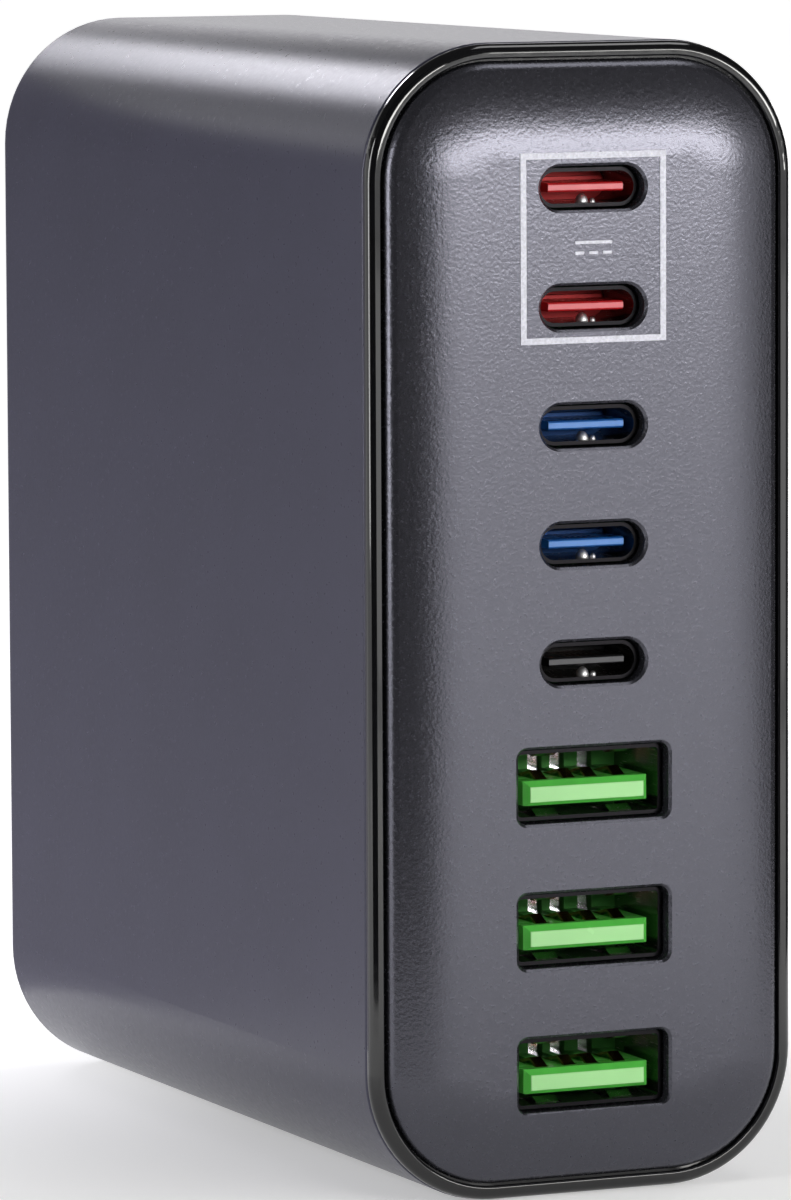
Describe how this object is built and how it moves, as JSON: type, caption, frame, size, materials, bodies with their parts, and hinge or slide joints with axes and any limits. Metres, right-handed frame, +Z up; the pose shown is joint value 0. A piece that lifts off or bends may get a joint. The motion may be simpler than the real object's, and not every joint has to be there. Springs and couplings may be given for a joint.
{
  "type": "usb charger",
  "caption": "Upright desktop USB charger with a deep rounded case, a crowned front panel in a polished bezel, a column of USB sockets and a rear mains inlet",
  "frame": {"origin": "middle of the footprint, on the surface it stands on", "axes": "+Z up, -Y out of the front panel, +X to the right seen from the front"},
  "size_m": [0.038, 0.0826, 0.094],
  "materials": {
    "housing_grey": "satin metallic paint",
    "bezel_black": "polished",
    "panel_grey": "fine sand texture with a metallic sheen",
    "print_pale": "pad print",
    "shell_steel": "plated sheet",
    "insulator_red": "moulded",
    "insulator_blue": "moulded",
    "insulator_black": "moulded",
    "insulator_green": "moulded",
    "contact_gold": "gold plated",
    "board_green": "solder resist",
    "inlet_black": "moulded",
    "pin_nickel": "nickel plated",
    "fuse_brown": "moulded",
    "film_yellow": "moulded box",
    "ferrite": "sintered",
    "copper_wire": "enamelled",
    "chip_black": "moulded",
    "can_blue": "sleeved can",
    "can_silver": "bare can",
    "tape_yellow": "taped winding",
    "inductor_grey": "pressed iron powder",
    "disc_blue": "dipped coating",
    "spreader_aluminium": "mill finish",
    "sheet_ivory": "aramid sheet",
    "pad_grey": "silicone pad"
  },
  "bodies": {
    "root": {"housing": "housing_grey", "front_bezel": "bezel_black", "front_panel": "panel_grey", "port_frame_print": "print_pale", "usb_c_shell_1": "shell_steel", "usb_c_shell_2": "shell_steel", "usb_c_shell_3": "shell_steel", "usb_c_shell_4": "shell_steel", "usb_c_shell_5": "shell_steel", "usb_c_insulator_1": "insulator_red", "usb_c_insulator_2": "insulator_red", "usb_c_insulator_3": "insulator_blue", "usb_c_insulator_4": "insulator_blue", "usb_c_insulator_5": "insulator_black", "usb_c_contacts_1": "contact_gold", "usb_c_contacts_2": "contact_gold", "usb_c_contacts_3": "contact_gold", "usb_c_contacts_4": "contact_gold", "usb_c_contacts_5": "contact_gold", "usb_a_shell_1": "shell_steel", "usb_a_shell_2": "shell_steel", "usb_a_shell_3": "shell_steel", "usb_a_insulator_1": "insulator_green", "usb_a_insulator_2": "insulator_green", "usb_a_insulator_3": "insulator_green", "usb_a_contacts_1": "contact_gold", "usb_a_contacts_2": "contact_gold", "usb_a_contacts_3": "contact_gold", "port_board": "board_green", "main_board": "board_green", "inlet_body": "inlet_black", "inlet_pins": "pin_nickel", "fuse": "fuse_brown", "x_capacitor": "film_yellow", "choke_core": "ferrite", "choke_windings": "copper_wire", "bridge_rectifier": "chip_black", "bulk_capacitor_upper": "can_blue", "bulk_capacitor_lower": "can_blue", "transformer_core": "ferrite", "transformer_bobbin": "chip_black", "transformer_winding": "tape_yellow", "pfc_choke_core": "ferrite", "pfc_choke_winding": "copper_wire", "power_switches": "chip_black", "rectifier_board": "board_green", "rectifier_chips": "chip_black", "output_capacitors": "can_silver", "buck_inductors": "inductor_grey", "buck_controllers": "chip_black", "y_capacitor": "disc_blue", "heat_spreader_left": "spreader_aluminium", "heat_spreader_right": "spreader_aluminium", "insulation_sheet": "sheet_ivory", "thermal_pads": "pad_grey"}
  },
  "joints": []
}
